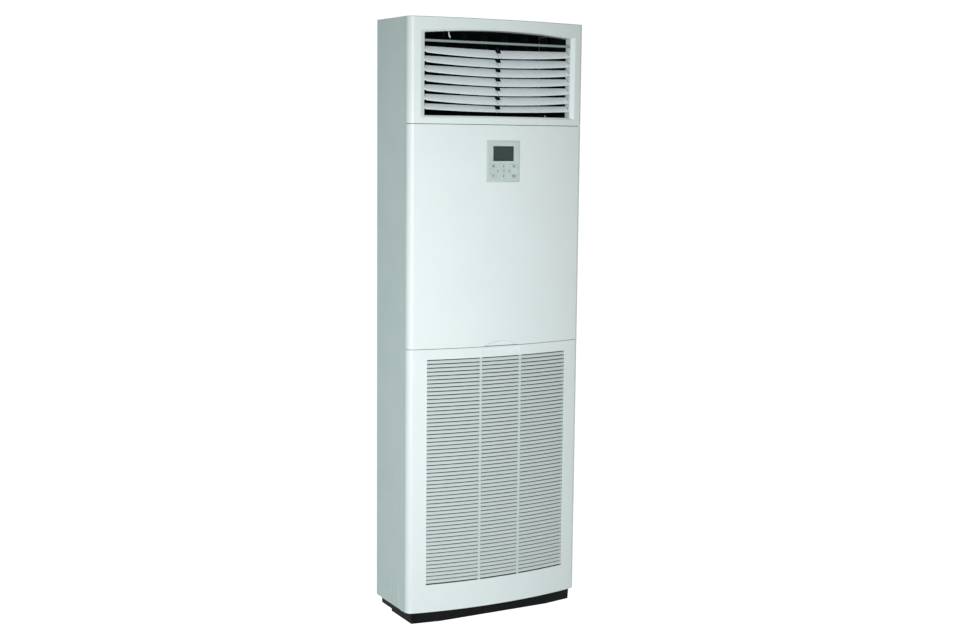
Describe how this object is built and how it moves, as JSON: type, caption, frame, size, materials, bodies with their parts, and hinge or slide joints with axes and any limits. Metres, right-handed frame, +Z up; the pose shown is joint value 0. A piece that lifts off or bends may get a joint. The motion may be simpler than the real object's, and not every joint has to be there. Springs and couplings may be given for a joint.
{
  "type": "floor standing air conditioner",
  "caption": "Tall floor standing air conditioner: bowed front with linked outlet louvres and vanes, keypad controller, slatted intake door over a filter, fan and leaning coil.",
  "frame": {"origin": "on the floor under the middle of the casing's box", "axes": "+Z up; the front with the louvres and controller looks along -Y; +X to the right of a viewer facing the front"},
  "size_m": [0.6, 0.27, 1.85],
  "materials": {
    "black_plastic": "matt black moulded plinth",
    "grey_steel": "satin pale grey powder coat",
    "zinc_steel": "plain zinc coated sheet",
    "pearl_plastic": "pale silver grey, semi gloss",
    "silver_plastic": "pale blue grey, satin",
    "dark_plastic": "dark grey, matt",
    "foam_lined_duct": "black, matt",
    "net": "fine dark net",
    "motor_steel": "plain steel",
    "aluminium": "bare fins",
    "copper": "bare copper",
    "board_green": "green board",
    "grey_plastic": "light grey, satin",
    "screen": "dark grey green display",
    "key_plastic": "light grey, satin"
  },
  "bodies": {
    "cabinet": {"air_duct": "foam_lined_duct", "base_tray": "black_plastic", "centre_panel": "pearl_plastic", "coil_end_plates": "zinc_steel", "coil_fins": "aluminium", "coil_tubes": "copper", "control_board": "board_green", "controller_case": "grey_plastic", "controller_screen": "screen", "corner_posts": "zinc_steel", "drain_pan": "dark_plastic", "electrical_box": "zinc_steel", "fan_bulkhead": "zinc_steel", "fan_motor": "motor_steel", "fan_scroll": "zinc_steel", "gas_pipe": "copper", "grille_catches": "dark_plastic", "hinge_brackets": "zinc_steel", "liquid_pipe": "copper", "louvre_motor": "motor_steel", "motor_bracket": "zinc_steel", "outlet_frame": "pearl_plastic", "outlet_rail": "pearl_plastic", "rear_panel": "zinc_steel", "sensor_clip": "grey_plastic", "side_panel_left": "grey_steel", "side_panel_right": "grey_steel", "terminal_block": "dark_plastic", "top_panel": "grey_steel", "vane_motor": "motor_steel"},
    "louvre_1": {"louvre_1": "silver_plastic"},
    "louvre_2": {"louvre_2": "silver_plastic"},
    "louvre_3": {"louvre_3": "silver_plastic"},
    "louvre_4": {"louvre_4": "silver_plastic"},
    "louvre_5": {"louvre_5": "silver_plastic"},
    "louvre_6": {"louvre_6": "silver_plastic"},
    "louvre_7": {"louvre_7": "silver_plastic"},
    "louvre_link": {"louvre_link": "dark_plastic"},
    "vane_1": {"vane_1": "dark_plastic"},
    "vane_2": {"vane_2": "dark_plastic"},
    "vane_3": {"vane_3": "dark_plastic"},
    "vane_4": {"vane_4": "dark_plastic"},
    "vane_5": {"vane_5": "dark_plastic"},
    "vane_6": {"vane_6": "dark_plastic"},
    "vane_7": {"vane_7": "dark_plastic"},
    "vane_link": {"vane_link": "dark_plastic"},
    "fan": {"fan_wheel": "dark_plastic"},
    "grille": {"intake_grille": "pearl_plastic"},
    "filter": {"filter_frame": "dark_plastic", "filter_net": "net"},
    "button_down": {"button_down": "key_plastic"},
    "button_enter": {"button_enter": "key_plastic"},
    "button_fan": {"button_fan": "key_plastic"},
    "button_left": {"button_left": "key_plastic"},
    "button_menu": {"button_menu": "key_plastic"},
    "button_mode": {"button_mode": "key_plastic"},
    "button_power": {"button_power": "key_plastic"},
    "button_right": {"button_right": "key_plastic"},
    "button_up": {"button_up": "key_plastic"}
  },
  "joints": [
    {"name": "louvre_1_tilt", "type": "hinge", "parent": "cabinet", "child": "louvre_1", "pos_m": [0, -0.0967, 1.7513], "axis": [1, 0, 0], "range_deg": [-45, 20]},
    {"name": "louvre_2_tilt", "type": "hinge", "parent": "cabinet", "child": "louvre_2", "pos_m": [0, -0.0967, 1.72325], "axis": [1, 0, 0], "range_deg": [-45, 20]},
    {"name": "louvre_3_tilt", "type": "hinge", "parent": "cabinet", "child": "louvre_3", "pos_m": [0, -0.0967, 1.6952], "axis": [1, 0, 0], "range_deg": [-45, 20]},
    {"name": "louvre_4_tilt", "type": "hinge", "parent": "cabinet", "child": "louvre_4", "pos_m": [0, -0.0967, 1.66715], "axis": [1, 0, 0], "range_deg": [-45, 20]},
    {"name": "louvre_5_tilt", "type": "hinge", "parent": "cabinet", "child": "louvre_5", "pos_m": [0, -0.0967, 1.6391], "axis": [1, 0, 0], "range_deg": [-45, 20]},
    {"name": "louvre_6_tilt", "type": "hinge", "parent": "cabinet", "child": "louvre_6", "pos_m": [0, -0.0967, 1.61105], "axis": [1, 0, 0], "range_deg": [-45, 20]},
    {"name": "louvre_7_tilt", "type": "hinge", "parent": "cabinet", "child": "louvre_7", "pos_m": [0, -0.0967, 1.583], "axis": [1, 0, 0], "range_deg": [-45, 20]},
    {"name": "louvre_link_swing", "type": "hinge", "parent": "louvre_4", "child": "louvre_link", "pos_m": [0, -0.0868, 1.67705], "axis": [1, 0, 0], "range_deg": [-20, 45]},
    {"name": "vane_1_swing", "type": "hinge", "parent": "cabinet", "child": "vane_1", "pos_m": [-0.216, 0, 1.69], "axis": [0, 0, 1], "range_deg": [-30, 30]},
    {"name": "vane_2_swing", "type": "hinge", "parent": "cabinet", "child": "vane_2", "pos_m": [-0.144, 0, 1.69], "axis": [0, 0, 1], "range_deg": [-30, 30]},
    {"name": "vane_3_swing", "type": "hinge", "parent": "cabinet", "child": "vane_3", "pos_m": [-0.072, 0, 1.69], "axis": [0, 0, 1], "range_deg": [-30, 30]},
    {"name": "vane_4_swing", "type": "hinge", "parent": "cabinet", "child": "vane_4", "pos_m": [0, 0, 1.69], "axis": [0, 0, 1], "range_deg": [-30, 30]},
    {"name": "vane_5_swing", "type": "hinge", "parent": "cabinet", "child": "vane_5", "pos_m": [0.072, 0, 1.69], "axis": [0, 0, 1], "range_deg": [-30, 30]},
    {"name": "vane_6_swing", "type": "hinge", "parent": "cabinet", "child": "vane_6", "pos_m": [0.144, 0, 1.69], "axis": [0, 0, 1], "range_deg": [-30, 30]},
    {"name": "vane_7_swing", "type": "hinge", "parent": "cabinet", "child": "vane_7", "pos_m": [0.216, 0, 1.69], "axis": [0, 0, 1], "range_deg": [-30, 30]},
    {"name": "vane_link_shift", "type": "hinge", "parent": "vane_2", "child": "vane_link", "pos_m": [-0.144, 0.02, 1.5655], "axis": [0, 0, 1], "range_deg": [-30, 30]},
    {"name": "fan_spin", "type": "hinge", "parent": "cabinet", "child": "fan", "pos_m": [-0.015, 0, 0.39], "axis": [0, 1, 0], "continuous": true},
    {"name": "grille_open", "type": "hinge", "parent": "cabinet", "child": "grille", "pos_m": [0, -0.123, 0.042], "axis": [1, 0, 0], "range_deg": [0, 35]},
    {"name": "filter_lift", "type": "slide", "parent": "grille", "child": "filter", "axis": [0, 0, 1], "range_m": [0, 0.6]},
    {"name": "button_down_press", "type": "slide", "parent": "cabinet", "child": "button_down", "axis": [0, 1, 0], "range_m": [0, 0.0006], "stiffness_N_per_m": 800},
    {"name": "button_enter_press", "type": "slide", "parent": "cabinet", "child": "button_enter", "axis": [0, 1, 0], "range_m": [0, 0.0006], "stiffness_N_per_m": 800},
    {"name": "button_fan_press", "type": "slide", "parent": "cabinet", "child": "button_fan", "axis": [0, 1, 0], "range_m": [0, 0.0006], "stiffness_N_per_m": 800},
    {"name": "button_left_press", "type": "slide", "parent": "cabinet", "child": "button_left", "axis": [0, 1, 0], "range_m": [0, 0.0006], "stiffness_N_per_m": 800},
    {"name": "button_menu_press", "type": "slide", "parent": "cabinet", "child": "button_menu", "axis": [0, 1, 0], "range_m": [0, 0.0006], "stiffness_N_per_m": 800},
    {"name": "button_mode_press", "type": "slide", "parent": "cabinet", "child": "button_mode", "axis": [0, 1, 0], "range_m": [0, 0.0006], "stiffness_N_per_m": 800},
    {"name": "button_power_press", "type": "slide", "parent": "cabinet", "child": "button_power", "axis": [0, 1, 0], "range_m": [0, 0.0006], "stiffness_N_per_m": 800},
    {"name": "button_right_press", "type": "slide", "parent": "cabinet", "child": "button_right", "axis": [0, 1, 0], "range_m": [0, 0.0006], "stiffness_N_per_m": 800},
    {"name": "button_up_press", "type": "slide", "parent": "cabinet", "child": "button_up", "axis": [0, 1, 0], "range_m": [0, 0.0006], "stiffness_N_per_m": 800}
  ],
  "couplings": [
    {"joint": "louvre_1_tilt", "follows": "louvre_4_tilt", "ratio": 1},
    {"joint": "louvre_2_tilt", "follows": "louvre_4_tilt", "ratio": 1},
    {"joint": "louvre_3_tilt", "follows": "louvre_4_tilt", "ratio": 1},
    {"joint": "louvre_5_tilt", "follows": "louvre_4_tilt", "ratio": 1},
    {"joint": "louvre_6_tilt", "follows": "louvre_4_tilt", "ratio": 1},
    {"joint": "louvre_7_tilt", "follows": "louvre_4_tilt", "ratio": 1},
    {"joint": "louvre_link_swing", "follows": "louvre_4_tilt", "ratio": -1},
    {"joint": "vane_1_swing", "follows": "vane_2_swing", "ratio": 1},
    {"joint": "vane_3_swing", "follows": "vane_2_swing", "ratio": 1},
    {"joint": "vane_4_swing", "follows": "vane_2_swing", "ratio": 1},
    {"joint": "vane_5_swing", "follows": "vane_2_swing", "ratio": 1},
    {"joint": "vane_6_swing", "follows": "vane_2_swing", "ratio": 1},
    {"joint": "vane_7_swing", "follows": "vane_2_swing", "ratio": 1},
    {"joint": "vane_link_shift", "follows": "vane_2_swing", "ratio": -1}
  ]
}
